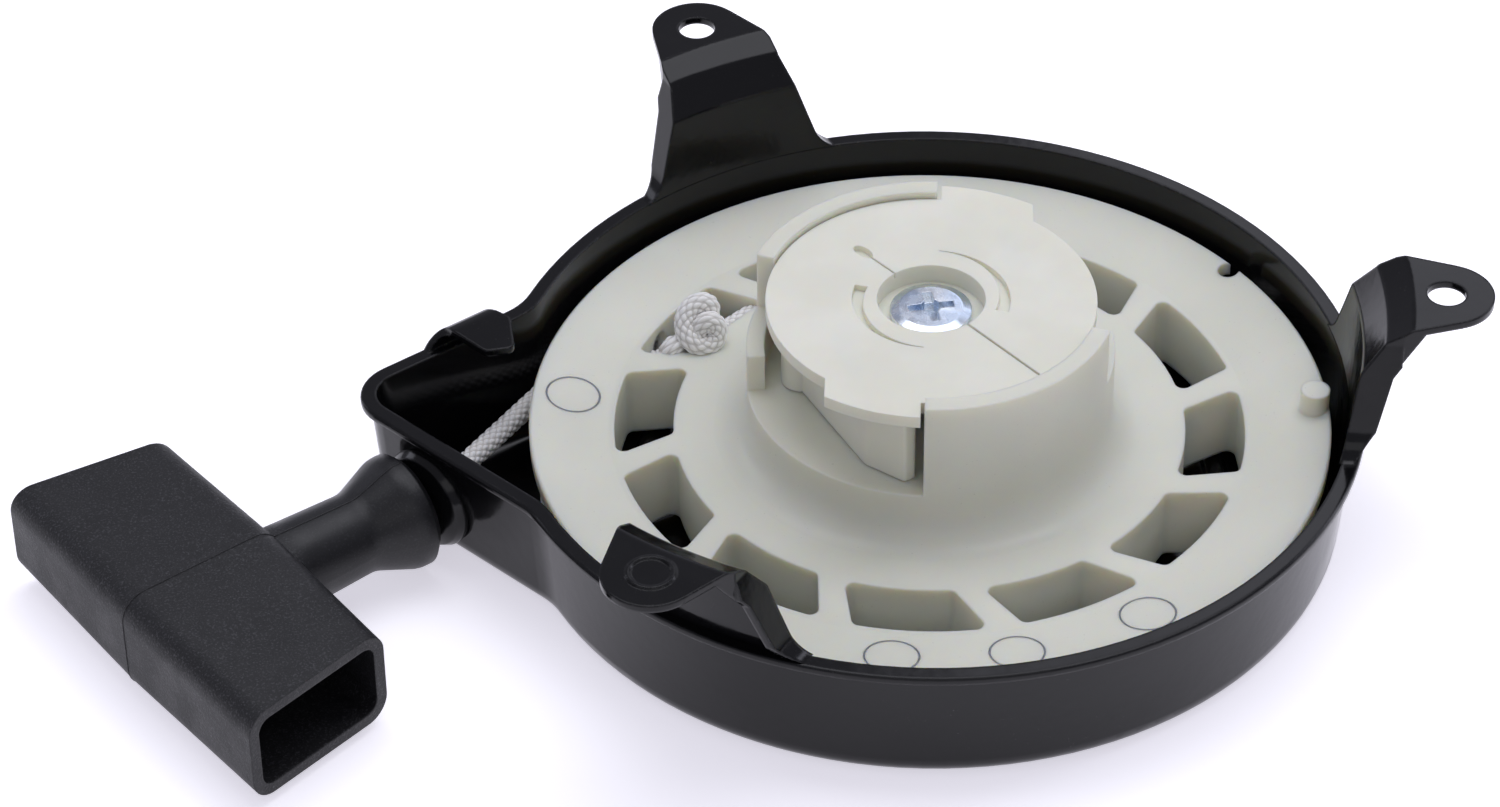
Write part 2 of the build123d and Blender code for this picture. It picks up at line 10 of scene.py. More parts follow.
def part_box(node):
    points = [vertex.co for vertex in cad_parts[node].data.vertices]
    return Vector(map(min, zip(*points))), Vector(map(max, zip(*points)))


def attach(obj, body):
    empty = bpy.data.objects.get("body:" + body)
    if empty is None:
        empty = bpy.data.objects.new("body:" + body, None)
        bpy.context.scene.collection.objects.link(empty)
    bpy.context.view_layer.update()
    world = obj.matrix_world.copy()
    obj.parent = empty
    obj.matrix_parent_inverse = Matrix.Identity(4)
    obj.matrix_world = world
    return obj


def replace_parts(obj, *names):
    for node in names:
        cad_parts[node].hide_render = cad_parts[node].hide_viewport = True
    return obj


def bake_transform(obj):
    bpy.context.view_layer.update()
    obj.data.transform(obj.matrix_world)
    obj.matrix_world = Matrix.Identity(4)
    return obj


# Looks for a recoil starter: painted pan, moulded pulley, braided rope and a moulded grip.
# Lengths are in metres; MM turns the millimetres of the part's source into them.
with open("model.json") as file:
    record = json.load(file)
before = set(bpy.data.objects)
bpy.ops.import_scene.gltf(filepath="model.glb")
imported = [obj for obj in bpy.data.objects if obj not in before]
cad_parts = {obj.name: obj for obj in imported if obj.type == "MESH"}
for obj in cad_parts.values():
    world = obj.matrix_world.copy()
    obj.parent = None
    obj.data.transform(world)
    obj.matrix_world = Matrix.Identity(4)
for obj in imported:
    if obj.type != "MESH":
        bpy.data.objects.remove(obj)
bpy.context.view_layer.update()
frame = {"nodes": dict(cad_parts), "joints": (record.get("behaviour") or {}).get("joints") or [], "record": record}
nodes = frame["nodes"]
joints = {joint["name"]: joint for joint in frame["joints"]}

MM = 0.001
UP = Vector((0, 0, 1))
PULL = Vector(joints["grip_pull"]["axis"])
ASIDE = UP.cross(PULL)

# Rope: its eyelet in the housing, its part turn on the drum in degrees, its knot in the drum's window
ROPE_R = 1.9 * MM
EYELET = Vector((-90.78, -16.29, 12.0)) * MM
DRUM_ROPE_R = 69.5 * MM
OUTER_TURN = 160.0
KNOT = Vector((-43.6, 24.0, 20.6)) * MM
KNOT_TILT = radians(39.2)
UNEVEN_WAVE = 7.0 * MM

# Braid: pairs of strands round the rope, their pitch along it, the crowns' height and how round they are
STRAND_PAIRS = 8
STRAND_PITCH = 2.1 * MM
STRAND_HEIGHT = 0.34 * MM
STRAND_CROWN = 0.45

# Winding: layers lie closer than a rope's width, because each sits in the grooves of the one below
LAYER_STEP = 3.55 * MM
WINDING_PLAY = 0.15 * MM

# Grip: places along the pull, measured from the eyelet
GRIP_GAP = 4.7 * MM
BAR_START = 32.0 * MM
GRIP_KNOT_AT = 40.2

# Parting line: rays find the grip from above and below along the pull, and from ahead on the bar's face
PARTING_FIRST, PARTING_LAST = GRIP_GAP + 0.6 * MM, GRIP_GAP + 60.6 * MM
PARTING_STEPS = 150
PARTING_RAYS_FROM = 40 * MM
FACE_STEPS = 20
FACE_HALF = 8.0 * MM
FACE_RAYS_FROM = 105 * MM

# Ejector rings on the pulley's flange: angle in degrees and radius in millimetres
EJECTORS = ((265, 4.8), (284, 4.8), (306, 4.9), (176, 4.9))
EJECTOR_CIRCLE_R = 66.0
ABOVE_FLANGE = 30.0
EJECTOR_STEPS = 72

# Camera: it looks at the pulley's axis and is then panned, tilted and rolled a little; angles in radians
CAMERA_ELEVATION = 0.684328
CAMERA_DISTANCE = 882.0 * MM
CAMERA_TARGET = Vector((0, 0, 20.58 * MM))
CAMERA_PAN, CAMERA_TILT, CAMERA_ROLL = 0.037334, 0.0011, -0.017551
LENS, SENSOR_WIDTH = 115.24, 36.0

# Floor
FLOOR_SIZE, FLOOR_CELLS = 14.0, 24


# ---------------------------------------------------------------- node shorthand

def add(tree, kind, inputs=None, **settings):
    """A shader node with its settings and inputs; a socket given as an input is linked."""
    made = tree.nodes.new("ShaderNode" + kind)
    for key, value in settings.items():
        setattr(made, key, value)
    for key, value in (inputs or {}).items():
        if isinstance(value, bpy.types.NodeSocket):
            tree.links.new(value, made.inputs[key])
        else:
            made.inputs[key].default_value = value
    return made


def calc(tree, operation, a, b=0.0):
    return add(tree, "Math", {0: a, 1: b}, operation=operation).outputs[0]


def where(tree, stretch=(1, 1, 1)):
    """Object coordinates, stretched per axis, so a pattern moves with its piece."""
    spot = add(tree, "TexCoord").outputs["Object"]
    return add(tree, "Mapping", {"Vector": spot, "Scale": stretch}).outputs[0]


def noise(tree, spot, scale, detail=2.0, rough=0.5):
    made = add(tree, "TexNoise", {"Vector": spot, "Scale": scale, "Detail": detail, "Roughness": rough})
    return made.outputs[0]


def ramp(tree, value, low, high, start=0.0, end=1.0):
    """The value's range low..high spread softly over start..end and held at its ends."""
    made = add(tree, "MapRange", {"Value": value, "From Min": low, "From Max": high,
                                  "To Min": start, "To Max": end})
    made.interpolation_type = "SMOOTHSTEP"
    return made.outputs[0]


def mix(tree, share, first, second):
    """Two colours mixed by a share from 0 to 1."""
    made = add(tree, "Mix", data_type="RGBA")
    for socket, value in ((made.inputs[0], share), (made.inputs[6], first), (made.inputs[7], second)):
        if isinstance(value, bpy.types.NodeSocket):
            tree.links.new(value, socket)
        elif isinstance(value, tuple):
            socket.default_value = (*value, 1)
        else:
            socket.default_value = value
    return made.outputs[2]


def bump(tree, height, distance, strength=1.0, under=None):
    inputs = {"Height": height, "Distance": distance, "Strength": strength}
    if under is not None:
        inputs["Normal"] = under
    return add(tree, "Bump", inputs).outputs[0]


def rounded(tree, radius):
    """A normal that rounds the CAD edges, and a mask that is 1 along them."""
    soft = add(tree, "Bevel", {"Radius": radius}, samples=6).outputs[0]
    flat = add(tree, "NewGeometry").outputs["Normal"]
    along = add(tree, "VectorMath", {0: soft, 1: flat}, operation="DOT_PRODUCT").outputs["Value"]
    return soft, ramp(tree, along, 0.995, 0.9)


def material(name, build):
    """A material whose shader's inputs are what build(tree) returns."""
    made = bpy.data.materials.new(name)
    made.use_nodes = True
    tree = made.node_tree
    tree.nodes.clear()
    shader = add(tree, "BsdfPrincipled", build(tree))
    out = add(tree, "OutputMaterial")
    tree.links.new(shader.outputs[0], out.inputs["Surface"])
    return made


# ---------------------------------------------------------------- materials

def gloss_paint(tree):
    """Black baked enamel with orange peel, dust and thin paint on its edges."""
    spot = where(tree)
    soft, edge = rounded(tree, 0.7 * MM)
    peel = noise(tree, spot, 420.0, 1.5)
    waves = noise(tree, spot, 55.0, 1.0)
    dust = ramp(tree, noise(tree, spot, 2600.0, 2.0, 0.6), 0.70, 0.78)
    patch = ramp(tree, noise(tree, spot, 38.0, 3.0), 0.45, 0.7)
    dust = calc(tree, "MULTIPLY", dust, calc(tree, "ADD", calc(tree, "MULTIPLY", patch, 0.5), 0.12))
    worn = calc(tree, "MULTIPLY", edge, ramp(tree, noise(tree, spot, 900.0, 3.0), 0.5, 0.72))
    colour = mix(tree, dust, (0.0036, 0.0036, 0.0042), (0.15, 0.15, 0.15))
    colour = mix(tree, calc(tree, "MULTIPLY", worn, 0.3), colour, (0.09, 0.09, 0.095))
    gloss = calc(tree, "ADD", ramp(tree, noise(tree, spot, 130.0, 3.0), 0.35, 0.7, 0.10, 0.16),
                 calc(tree, "MULTIPLY", dust, 0.4))
    height = calc(tree, "ADD", peel, calc(tree, "MULTIPLY", waves, 4.0))
    return {"Base Color": colour, "Roughness": gloss, "Specular IOR Level": 0.30,
            "Normal": bump(tree, height, 0.045 * MM, 0.5, soft)}


def milky_nylon(tree, edge_radius=0.7 * MM):
    """Natural nylon: milky, slightly translucent, with faint flow marks."""
    spot = where(tree)
    soft, edge = rounded(tree, edge_radius)
    cloud = noise(tree, spot, 26.0, 3.0)
    colour = mix(tree, ramp(tree, cloud, 0.35, 0.68), (0.770, 0.772, 0.672), (0.815, 0.812, 0.708))
    speck = ramp(tree, noise(tree, spot, 1900.0, 1.0), 0.74, 0.80)
    colour = mix(tree, calc(tree, "MULTIPLY", speck, 0.25), colour, (0.36, 0.34, 0.28))
    # Painted highlight: the nylon is painted lighter along its rounded edges, where they would catch the light.
    colour = mix(tree, calc(tree, "MULTIPLY", edge, 0.25), colour, (0.88, 0.88, 0.82))
    flow = noise(tree, where(tree, (1.0, 1.0, 0.2)), 90.0, 4.0, 0.6)
    grain = noise(tree, spot, 1300.0, 2.0)
    height = calc(tree, "ADD", calc(tree, "MULTIPLY", flow, 1.6), calc(tree, "MULTIPLY", grain, 0.25))
    gloss = ramp(tree, flow, 0.3, 0.7, 0.30, 0.42)
    return {"Base Color": colour, "Roughness": gloss, "Subsurface Weight": 0.85,
            "Subsurface Radius": (1.0, 0.78, 0.45), "Subsurface Scale": 3.6 * MM,
            "Specular IOR Level": 0.45, "Normal": bump(tree, height, 0.05 * MM, 0.5, soft)}


def witness_nylon(tree):
    """The pulley's nylon for details that are thinner than its rounded edges."""
    return milky_nylon(tree, 0.02 * MM)


def cream_nylon(tree):
    """The warmer nylon of the friction plate and pawls, with fine turning marks from use."""
    spot = where(tree)
    soft, edge = rounded(tree, 0.3 * MM)
    cloud = noise(tree, spot, 60.0, 3.0)
    colour = mix(tree, ramp(tree, cloud, 0.35, 0.68), (0.845, 0.838, 0.716), (0.890, 0.882, 0.770))
    # Painted highlight: the plate's nylon is painted lighter along its rounded edges.
    colour = mix(tree, calc(tree, "MULTIPLY", edge, 0.4), colour, (0.92, 0.90, 0.82))
    grain = noise(tree, spot, 900.0, 3.0)
    rub = noise(tree, where(tree, (1.0, 0.08, 1.0)), 700.0, 2.0)
    height = calc(tree, "ADD", grain, calc(tree, "MULTIPLY", rub, 0.8))
    gloss = ramp(tree, cloud, 0.3, 0.7, 0.36, 0.48)
    return {"Base Color": colour, "Roughness": gloss, "Subsurface Weight": 0.6,
            "Subsurface Radius": (1.0, 0.78, 0.45), "Subsurface Scale": 1.6 * MM,
            "Specular IOR Level": 0.45, "Normal": bump(tree, height, 0.03 * MM, 0.5, soft)}


def around_axis(tree):
    """Distance from the Z axis, for turned and plated parts."""
    split = add(tree, "SeparateXYZ", {0: where(tree)})
    x, y = split.outputs[0], split.outputs[1]
    square = calc(tree, "ADD", calc(tree, "MULTIPLY", x, x), calc(tree, "MULTIPLY", y, y))
    return calc(tree, "SQRT", square)


def metal(first, second, rough_low, rough_high, rings=0.0):
    """A builder for bare or plated metal, with turning rings where it was turned."""
    def build(tree):
        spot = where(tree)
        soft, edge = rounded(tree, 0.22 * MM)
        cloud = noise(tree, spot, 210.0, 3.0)
        colour = mix(tree, ramp(tree, cloud, 0.35, 0.68), first, second)
        # Painted highlight: a pale bluish glint is painted along the rounded edges.
        colour = mix(tree, calc(tree, "MULTIPLY", edge, 0.3), colour, (0.9, 0.92, 0.95))
        grain = noise(tree, where(tree, (1.0, 1.0, 0.15)), 1500.0, 3.0)
        height = grain
        if rings:
            wave = calc(tree, "SINE", calc(tree, "MULTIPLY", around_axis(tree), 2 * pi / (0.32 * MM)))
            height = calc(tree, "ADD", calc(tree, "MULTIPLY", wave, rings), grain)
        gloss = ramp(tree, noise(tree, spot, 480.0, 4.0), 0.3, 0.7, rough_low, rough_high)
        return {"Base Color": colour, "Roughness": gloss, "Metallic": 1.0,
                "Normal": bump(tree, height, 0.02 * MM, 0.4, soft)}
    return build


def spark_plastic(tree):
    """Matte black moulding: spark-eroded texture on the bar, smoother on the stem."""
    spot = where(tree)
    soft, edge = rounded(tree, 0.5 * MM)
    along = add(tree, "VectorMath", {0: spot, 1: tuple(PULL)}, operation="DOT_PRODUCT").outputs["Value"]
    bar_start = EYELET.dot(PULL) + BAR_START
    coarse = ramp(tree, along, bar_start - 2.5 * MM, bar_start + 1.5 * MM, 0.28, 1.0)
    pits = noise(tree, spot, 2300.0, 2.5, 0.65)
    lumps = noise(tree, spot, 900.0, 2.0)
    height = calc(tree, "ADD", pits, calc(tree, "MULTIPLY", lumps, 0.6))
    height = calc(tree, "MULTIPLY", height, coarse)
    # Painted glints: bright specks are painted on the spark texture where its pits would catch the light, with
    # fewer on the smoother stem.
    painted_glints = ramp(tree, noise(tree, spot, 2600.0, 2.0), 0.52, 0.72)
    colour = mix(tree, calc(tree, "MULTIPLY", painted_glints, calc(tree, "MULTIPLY", coarse, 0.8)),
                 (0.0062, 0.0062, 0.0074), (0.052, 0.052, 0.057))
    # Painted highlight: the moulding is painted a little lighter along its rounded edges.
    colour = mix(tree, calc(tree, "MULTIPLY", edge, 0.2), colour, (0.05, 0.05, 0.05))
    gloss = calc(tree, "ADD", calc(tree, "MULTIPLY", coarse, 0.16),
                 ramp(tree, noise(tree, spot, 150.0, 3.0), 0.3, 0.7, 0.30, 0.40))
    return {"Base Color": colour, "Roughness": gloss, "Specular IOR Level": 0.42,
            "Normal": bump(tree, height, 0.11 * MM, 0.9, soft)}


def rope_finish(tree, height, under=None):
    """White braided cord with fine filaments; painted shade makes its grooves grey-beige and its crowns bright."""
    spot = where(tree)
    stain = ramp(tree, noise(tree, spot, 120.0, 3.0), 0.45, 0.75, 0.0, 0.2)
    # Painted shade: the grooves between the strands are painted grey-beige and the crowns bright, following the
    # strands' height.
    colour = mix(tree, ramp(tree, height, 0.08, 0.65), (0.64, 0.62, 0.59), (0.96, 0.95, 0.93))
    colour = mix(tree, stain, colour, (0.66, 0.64, 0.57))
    fibre = noise(tree, spot, 3600.0, 3.0, 0.6)
    colour = mix(tree, ramp(tree, fibre, 0.35, 0.5, 0.10, 0.0), colour, (0.60, 0.59, 0.57))
    return {"Base Color": colour, "Roughness": ramp(tree, fibre, 0.3, 0.7, 0.45, 0.70),
            "Subsurface Weight": 0.3, "Subsurface Radius": (1.0, 0.9, 0.8), "Subsurface Scale": 0.5 * MM,
            "Sheen Weight": 0.25, "Sheen Roughness": 0.4, "Specular IOR Level": 0.4,
            "Normal": bump(tree, fibre, 0.06 * MM, 0.6, under)}


def braided_rope(tree):
    """Rope whose braid is in its mesh, which carries the strands' height as an attribute."""
    crown = add(tree, "Attribute", attribute_name="strand_height").outputs["Fac"]
    return rope_finish(tree, crown)


def strand_wave(tree, turn, run):
    """A diamond braid's height from the turns round the rope and the pitches along it."""
    u = calc(tree, "ADD", turn, run)
    v = calc(tree, "SUBTRACT", turn, run)
    fu, fv = calc(tree, "FRACT", u), calc(tree, "FRACT", v)
    cell = calc(tree, "ADD", calc(tree, "FLOOR", u), calc(tree, "FLOOR", v))
    odd = calc(tree, "MODULO", calc(tree, "ADD", cell, 4000.0), 2.0)
    hump_u = calc(tree, "SINE", calc(tree, "MULTIPLY", fu, pi))
    hump_v = calc(tree, "SINE", calc(tree, "MULTIPLY", fv, pi))
    over = calc(tree, "MULTIPLY", hump_u, calc(tree, "POWER", hump_v, STRAND_CROWN))
    under = calc(tree, "MULTIPLY", hump_v, calc(tree, "POWER", hump_u, STRAND_CROWN))
    keep = calc(tree, "SUBTRACT", 1.0, odd)
    return calc(tree, "ADD", calc(tree, "MULTIPLY", over, keep), calc(tree, "MULTIPLY", under, odd))


def pulled_rope(tree):
    """Rope whose braid is worked out in the shader, so that it keeps its size as the rope pays out."""
    spot = add(tree, "VectorMath", {0: where(tree), 1: tuple(EYELET)}, operation="SUBTRACT").outputs[0]
    share = {}
    for name, axis in (("run", PULL), ("side", ASIDE), ("up", UP)):
        made = add(tree, "VectorMath", {0: spot, 1: tuple(axis)}, operation="DOT_PRODUCT")
        share[name] = made.outputs["Value"]
    turn = calc(tree, "ARCTAN2", share["side"], share["up"])
    turn = calc(tree, "MULTIPLY", turn, STRAND_PAIRS / (2 * pi))
    run = calc(tree, "DIVIDE", share["run"], STRAND_PITCH)
    height = strand_wave(tree, turn, run)
    return rope_finish(tree, height, bump(tree, height, STRAND_HEIGHT, 1.0))


def floor_paper(tree):
    spot = where(tree)
    colour = mix(tree, noise(tree, spot, 3.0, 3.0), (0.90, 0.90, 0.90), (0.92, 0.92, 0.92))
    return {"Base Color": colour, "Roughness": 0.7, "Specular IOR Level": 0.2,
            "Emission Color": (0.98, 0.95, 1.06, 1), "Emission Strength": 0.56}


PLAIN_STEEL = metal((0.48, 0.48, 0.49), (0.60, 0.60, 0.60), 0.26, 0.40, rings=0.4)
ZINC_STEEL = metal((0.60, 0.70, 0.84), (0.86, 0.91, 0.96), 0.13, 0.30, rings=0.3)
SPRING_STEEL = metal((0.16, 0.18, 0.24), (0.34, 0.35, 0.38), 0.24, 0.38)

LOOKS = {
    "black_paint": material("look_black_paint", gloss_paint),
    "plain_steel": material("look_plain_steel", PLAIN_STEEL),
    "zinc_steel": material("look_zinc_steel", ZINC_STEEL),
    "spring_steel": material("look_spring_steel", SPRING_STEEL),
    "milky_nylon": material("look_milky_nylon", milky_nylon),
    "cream_nylon": material("look_cream_nylon", cream_nylon),
    "white_rope": material("look_white_rope", braided_rope),
    "black_plastic": material("look_black_plastic", spark_plastic),
}


# ---------------------------------------------------------------- meshes

def mesh_piece(name, points, faces, finish, body):
    """A mesh with a material that rides on a body; body may be None for a blended piece."""
    data = bpy.data.meshes.new(name)
    data.from_pydata([tuple(p) for p in points], [], faces)
    data.update()
    data.shade_smooth()
    piece = bpy.data.objects.new(name, data)
    bpy.context.scene.collection.objects.link(piece)
    data.materials.append(finish)
    if body:
        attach(piece, body)
    return piece


def smooth_line(controls):
    """Points along the NURBS spline of these control points."""
    curve = bpy.data.curves.new("route", "CURVE")
    curve.dimensions = "3D"
    curve.resolution_u = 24
    spline = curve.splines.new("NURBS")
    spline.points.add(len(controls) - 1)
    for point, place in zip(spline.points, controls):
        point.co = (*place, 1)
    spline.order_u = 3
    spline.use_endpoint_u = True
    carrier = bpy.data.objects.new("route", curve)
    bpy.context.scene.collection.objects.link(carrier)
    bpy.context.view_layer.update()
    data = bpy.data.meshes.new_from_object(carrier)
    line = np.array([v.co for v in data.vertices], float)
    bpy.data.objects.remove(carrier)
    bpy.data.meshes.remove(data)
    return line


def even(line, step):
    """The line resampled at even steps, and the distance along it of each point."""
    line = np.asarray(line, float)
    steps = np.linalg.norm(np.diff(line, axis=0), axis=1)
    along = np.concatenate([[0], np.cumsum(steps)])
    wanted = np.linspace(0, along[-1], max(int(along[-1] / step), 2) + 1)
    return np.stack([np.interp(wanted, along, line[:, k]) for k in range(3)], 1), wanted


def carried_frames(line):
    """Two directions across the line at each point, carried along it without twist."""
    ahead = np.gradient(line, axis=0)
    ahead /= np.linalg.norm(ahead, axis=1)[:, None]
    start = np.cross(ahead[0], (0.0, 0.0, 1.0))
    if np.linalg.norm(start) < 0.1:
        start = np.cross(ahead[0], (1.0, 0.0, 0.0))
    across = [start / np.linalg.norm(start)]
    for direction in ahead[1:]:
        side = across[-1] - direction * (across[-1] @ direction)
        across.append(side / np.linalg.norm(side))
    across = np.array(across)
    return across, np.cross(ahead, across)


def strand_heights(turn, run):
    """A diamond braid's height, 0 to 1: strands of two families take turns on top."""
    u, v = turn + run, turn - run
    hump_u, hump_v = np.sin(pi * (u % 1.0)), np.sin(pi * (v % 1.0))
    odd = (np.floor(u) + np.floor(v)) % 2
    return np.where(odd == 0, hump_u * hump_v**STRAND_CROWN, hump_v * hump_u**STRAND_CROWN)


def braided_tube(name, line, body, step=0.25 * MM, around=64, uneven=0.0, closed=False):
    """A braided rope along a line: a tube whose surface is the strands themselves.

    A closed line's ends meet, so it has no end caps. A knot's rope is a little uneven.
    """
    line, along = even(line, step)
    side, up = carried_frames(line)
    count = len(line)
    angles = np.arange(around) * 2 * pi / around
    turn = STRAND_PAIRS * angles[None, :] / (2 * pi)
    run = along[:, None] / STRAND_PITCH
    heights = strand_heights(turn, run)
    swell = 1 + uneven * np.sin(along / UNEVEN_WAVE)[:, None] * np.cos(angles + 1.0)[None, :]
    radius = (ROPE_R - 0.5 * STRAND_HEIGHT + STRAND_HEIGHT * heights) * swell
    outward = (np.cos(angles)[None, :, None] * side[:, None, :]
               + np.sin(angles)[None, :, None] * up[:, None, :])
    points = (line[:, None, :] + radius[:, :, None] * outward).reshape(-1, 3)
    faces = []
    for i in range(count - 1):
        a, b = i * around, (i + 1) * around
        faces += [(a + k, a + (k + 1) % around, b + (k + 1) % around, b + k) for k in range(around)]
    if not closed:
        last = (count - 1) * around
        faces += [tuple(reversed(range(around))), tuple(range(last, last + around))]
    piece = mesh_piece(name, points, faces, LOOKS["white_rope"], body)
    attribute = piece.data.attributes.new("strand_height", "FLOAT", "POINT")
    attribute.data.foreach_set("value", heights.ravel().astype(np.float32))
    return piece


def ridge(name, path, normals, width, height, finish, body):
    """A closed low bead that lies on a surface along a path."""
    path, normals = np.asarray(path, float), np.asarray(normals, float)
    ahead = np.roll(path, -1, 0) - np.roll(path, 1, 0)
    across = np.cross(normals, ahead)
    across /= np.linalg.norm(across, axis=1)[:, None]
    section = [(-0.5, -0.5), (-0.32, 0.55), (0.0, 1.0), (0.32, 0.55), (0.5, -0.5)]
    points = [path + across * (width * x) + normals * (height * z) for x, z in section]
    points = np.stack(points, 1).reshape(-1, 3)
    count, wide = len(path), len(section)
    faces = []
    for i in range(count):
        a, b = i * wide, ((i + 1) % count) * wide
        faces += [(a + k, b + k, b + (k + 1) % wide, a + (k + 1) % wide) for k in range(wide)]
    return mesh_piece(name, points, faces, finish, body)


def surface_of(node):
    """A CAD node's surface, for rays that find a spot on it."""
    data = nodes[node].data
    return BVHTree.FromPolygons([v.co for v in data.vertices], [tuple(p.vertices) for p in data.polygons])


# ---------------------------------------------------------------- rope

def drum_arc(radius, z, start, end, step=0.5):
    """Points round the drum from one angle to another, in degrees."""
    angles = np.radians(np.linspace(start, end, int(abs(end - start) / step) + 1))
    return np.stack([radius * np.cos(angles), radius * np.sin(angles), np.full(len(angles), z)], 1)


def run_leaves():
    """The angle where the rope leaves the drum in a straight line for the eyelet."""
    reach = hypot(EYELET.x, EYELET.y)
    return np.degrees(atan2(EYELET.y, EYELET.x) - acos(DRUM_ROPE_R / reach))


def wound_rope():
    """The turns on the drum and, outside them, the part turn that leads to the eyelet."""
    low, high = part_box("rope_winding")
    outer = high.x - ROPE_R
    rows = (low.z + ROPE_R + WINDING_PLAY, high.z - ROPE_R - WINDING_PLAY)
    turns = []
    for radius, step, around in ((outer, 0.4 * MM, 40), (outer - LAYER_STEP, 1.0 * MM, 24)):
        for z in rows:
            name = f"rope_turn_{len(turns) + 1}"
            turn = drum_arc(radius, z, 0, 360, 1.0)
            turns.append(braided_tube(name, turn, "drum", step, around, closed=True))
    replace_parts(turns[0], "rope_winding")
    leaves = run_leaves()
    last = drum_arc(DRUM_ROPE_R, EYELET.z, leaves - OUTER_TURN, leaves)
    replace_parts(braided_tube("rope_outer_turn", last, "drum", 0.3 * MM, 48), "rope_last_turn")


def straight_rope():
    """The run from the drum to the eyelet, which rides on the housing."""
    leaves = radians(run_leaves())
    start = Vector((DRUM_ROPE_R * cos(leaves), DRUM_ROPE_R * sin(leaves), EYELET.z))
    toward = (EYELET - start).normalized()
    controls = [start, start.lerp(EYELET, 0.5), EYELET - toward * 5 * MM, EYELET, EYELET + PULL * 1.6 * MM,
                EYELET + PULL * 2.2 * MM]
    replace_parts(braided_tube("rope_to_eyelet", smooth_line(controls), "root"), "rope_run")


def paid_out_rope():
    """The rope between eyelet and grip, which grows as the grip is pulled; its ends lie inside both."""
    around, rings = 48, 60
    first, last = 0.8 * MM, GRIP_GAP + 6.0 * MM
    radius = ROPE_R - 0.02 * MM
    points, faces = [], []
    for i in range(rings + 1):
        centre = EYELET + PULL * (first + (last - first) * i / rings)
        for k in range(around):
            angle = 2 * pi * k / around
            points.append(centre + (UP * cos(angle) + ASIDE * sin(angle)) * radius)
    for i in range(rings):
        a, b = i * around, (i + 1) * around
        faces += [(a + k, b + k, b + (k + 1) % around, a + (k + 1) % around) for k in range(around)]
    faces += [tuple(range(around)), tuple(reversed(range(rings * around, (rings + 1) * around)))]
    piece = mesh_piece("rope_paid_out", points, faces, material("look_paid_out_rope", pulled_rope),
                       None)
    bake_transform(piece)


def placed(origin, basis, table):
    """Control points given in millimetres in a basis of three directions."""
    return [origin + sum((axis * (value * MM) for axis, value in zip(basis, row)), Vector()) for row in table]


def drum_knot():
    """The overhand knot that holds the rope's inner end in a window of the drum."""
    right, toward = Vector((1, 0, 0)), Vector((0, -cos(KNOT_TILT), sin(KNOT_TILT)))
    basis = (right, toward.cross(right), toward)
    loop = [(-4.9, -3.9, 2.2), (-3.0, -3.2, -0.4), (-0.4, -1.0, -2.4), (2.0, 2.2, -1.6), (2.0, 4.4, 0.4),
            (-0.2, 4.6, 1.8), (-2.3, 2.4, 2.2), (-2.5, -0.6, 2.4), (-0.9, -3.2, 2.6), (1.7, -3.8, 1.8),
            (3.8, -1.7, 1.0), (3.3, 1.0, 2.4), (1.1, 1.0, 3.2), (-0.1, -1.2, 1.2), (1.6, -1.6, -2.8)]
    controls = placed(KNOT, basis, loop)
    lead = [Vector(p) * MM for p in ((-56.4, 27.6, 10.6), (-52.6, 23.6, 12.0), (-49.4, 20.9, 15.4))]
    tail = [Vector(p) * MM for p in ((-39.6, 29.8, 14.4), (-34.8, 35.0, 14.8), (-30.2, 39.0, 15.0))]
    line = smooth_line(lead + controls + tail)
    knot = braided_tube("rope_drum_knot", line, "drum", 0.22 * MM, 64, uneven=0.05)
    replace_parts(knot, "rope_knot", "rope_lead", "rope_tail")


def grip_knot():
    """The rope inside the grip's stem and the knot that the bar pulls against."""
    basis = (PULL, ASIDE, UP)
    at = GRIP_KNOT_AT
    loop = [(7.4, 0, 0), (20.0, 0, 0), (at - 5.0, 0, 0), (at - 1.4, 0.4, 1.2), (at + 1.4, 3.0, 1.8),
            (at + 2.8, 2.6, -1.8), (at + 0.8, -0.4, -3.2), (at - 1.0, -3.0, -1.2), (at - 0.2, -2.8, 1.8),
            (at + 2.0, -0.4, 3.0), (at + 3.2, 1.2, 0.8), (at + 2.6, 0.4, -1.6), (at + 6.4, -0.4, -2.2)]
    line = smooth_line(placed(EYELET, basis, loop))
    knot = braided_tube("rope_grip_knotted", line, "grip", 0.3 * MM, 56, uneven=0.05)
    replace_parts(knot, "rope_grip_end", "rope_grip_knot")


# ---------------------------------------------------------------- moulding details

def ejector_rings():
    """Four faint witness rings left by the mould's ejector pins on the pulley's flange."""
    surface = surface_of("pulley")
    finish = material("look_witness_nylon", witness_nylon)
    for index, (angle, size) in enumerate(EJECTORS):
        x, y = EJECTOR_CIRCLE_R * cos(radians(angle)), EJECTOR_CIRCLE_R * sin(radians(angle))
        centre = Vector((x, y, ABOVE_FLANGE)) * MM
        path, normals = [], []
        for k in range(EJECTOR_STEPS):
            turn = 2 * pi * k / EJECTOR_STEPS
            spot = centre + Vector((cos(turn), sin(turn), 0)) * size * MM
            hit, normal, _, _ = surface.ray_cast(spot, -UP)
            path.append(hit)
            normals.append(normal)
        ridge(f"ejector_ring_{index + 1}", path, normals, 0.45 * MM, 0.03 * MM, finish, "drum")


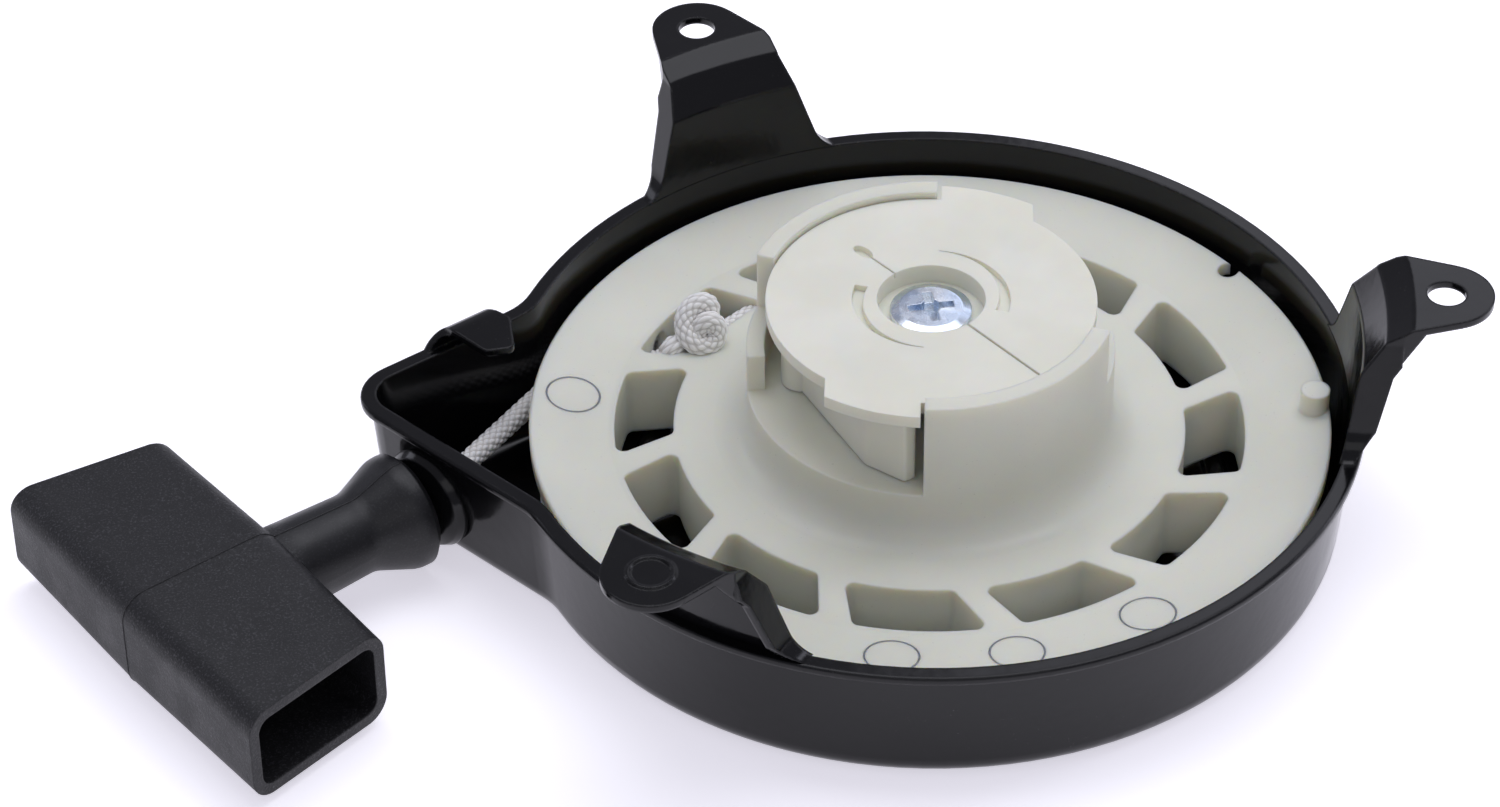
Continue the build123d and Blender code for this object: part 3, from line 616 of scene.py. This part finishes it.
def parting_line():
    """The mould's flash line round the grip, in the upright plane through its stem."""
    surface = surface_of("grip")
    shares = [k / PARTING_STEPS for k in range(PARTING_STEPS + 1)]
    spots = [EYELET + PULL * (PARTING_FIRST + (PARTING_LAST - PARTING_FIRST) * share) for share in shares]
    rays = [(spot + UP * PARTING_RAYS_FROM, -UP) for spot in spots]
    face = EYELET + PULL * FACE_RAYS_FROM
    for k in range(1, FACE_STEPS):
        rays.append((face + UP * FACE_HALF * (1 - 2 * k / FACE_STEPS), -PULL))
    rays += [(spot - UP * PARTING_RAYS_FROM, UP) for spot in reversed(spots)]
    path, normals = [], []
    for start, way in rays:
        hit, normal, _, _ = surface.ray_cast(start, way)
        if hit is not None:
            path.append(hit)
            normals.append((normal - ASIDE * normal.dot(ASIDE)).normalized())
    ridge("grip_parting_line", path, normals, 0.40 * MM, 0.14 * MM,
          LOOKS["black_plastic"], "grip")


# ---------------------------------------------------------------- studio

def studio_camera():
    """The viewpoint: in front and above, with the pulley's axis a little left of centre."""
    place = Vector((0, -cos(CAMERA_ELEVATION), sin(CAMERA_ELEVATION))) * CAMERA_DISTANCE
    ahead, right = -place.normalized(), Vector((1, 0, 0))
    axes = {"right": right, "up": right.cross(ahead), "ahead": ahead}
    for about, angle in (("up", CAMERA_PAN), ("right", CAMERA_TILT), ("ahead", CAMERA_ROLL)):
        turn = Quaternion(axes[about], angle)
        for axis in axes.values():
            axis.rotate(turn)
    lens = bpy.data.cameras.new("camera")
    lens.lens = LENS
    lens.sensor_width = SENSOR_WIDTH
    lens.clip_start, lens.clip_end = 0.01, 50.0
    camera = bpy.data.objects.new("camera", lens)
    facing = Matrix((axes["right"], axes["up"], -axes["ahead"])).transposed().to_4x4()
    camera.matrix_world = Matrix.Translation(CAMERA_TARGET + place) @ facing
    bpy.context.scene.collection.objects.link(camera)
    bpy.context.scene.camera = camera


def softbox(name, place, aim, size, radiance, colour=(1, 1, 1)):
    """A rectangular area light of a given brightness, aimed at a point."""
    lamp = bpy.data.lights.new(name, "AREA")
    lamp.shape = "RECTANGLE"
    lamp.size, lamp.size_y = size
    lamp.energy = radiance * pi * size[0] * size[1]
    lamp.color = colour
    box = bpy.data.objects.new(name, lamp)
    box.location = place
    box.rotation_euler = (Vector(aim) - Vector(place)).to_track_quat("-Z", "Y").to_euler()
    bpy.context.scene.collection.objects.link(box)


def surround():
    """An even bright surround."""
    world = bpy.data.worlds.new("surround")
    world.use_nodes = True
    background = world.node_tree.nodes["Background"]
    background.inputs["Color"].default_value = (0.93, 0.93, 1.08, 1)
    background.inputs["Strength"].default_value = 0.34
    bpy.context.scene.world = world


def floor_sheet():
    """A wide white floor of square cells."""
    grid = np.linspace(-FLOOR_SIZE / 2, FLOOR_SIZE / 2, FLOOR_CELLS + 1)
    points = [(x, y, 0.0) for y in grid for x in grid]
    row = FLOOR_CELLS + 1
    faces = [(r * row + c, r * row + c + 1, (r + 1) * row + c + 1, (r + 1) * row + c)
             for r in range(FLOOR_CELLS) for c in range(FLOOR_CELLS)]
    data = bpy.data.meshes.new("floor")
    data.from_pydata(points, [], faces)
    data.materials.append(material("look_floor", floor_paper))
    floor = bpy.data.objects.new("floor", data)
    bpy.context.scene.collection.objects.link(floor)


def studio():
    """A white floor in a bright surround, lit by five softboxes."""
    surround()
    floor_sheet()
    softbox("overhead", (0.05, 0.25, 1.15), (0, 0, 0), (1.1, 0.8), 2.15, (0.96, 0.97, 1.04))
    softbox("back_left", (-1.05, 0.55, 0.55), (0, 0, 0.03), (0.2, 0.7), 1.8, (0.92, 0.94, 1.08))
    softbox("back_right", (1.05, 0.45, 0.5), (0, 0, 0.03), (0.25, 0.9), 3.0, (0.92, 0.94, 1.08))
    softbox("front_fill", (0.1, -1.2, 0.95), (0, 0, 0.02), (1.2, 0.6), 0.6)
    softbox("back_panel", (0.5, 1.55, 1.3), (0, 0, 0.04), (0.95, 0.7), 1.1, (0.95, 0.96, 1.06))
    bpy.context.scene.view_settings.view_transform = "Standard"


# ---------------------------------------------------------------- assembly

for part in frame["record"]["subparts"]:
    cad_node = nodes[part["node"]]
    for place in cad_node.material_slots:
        place.material = LOOKS[part["material_slot"]]

studio_camera()
studio()
wound_rope()
straight_rope()
paid_out_rope()
drum_knot()
grip_knot()
ejector_rings()
parting_line()
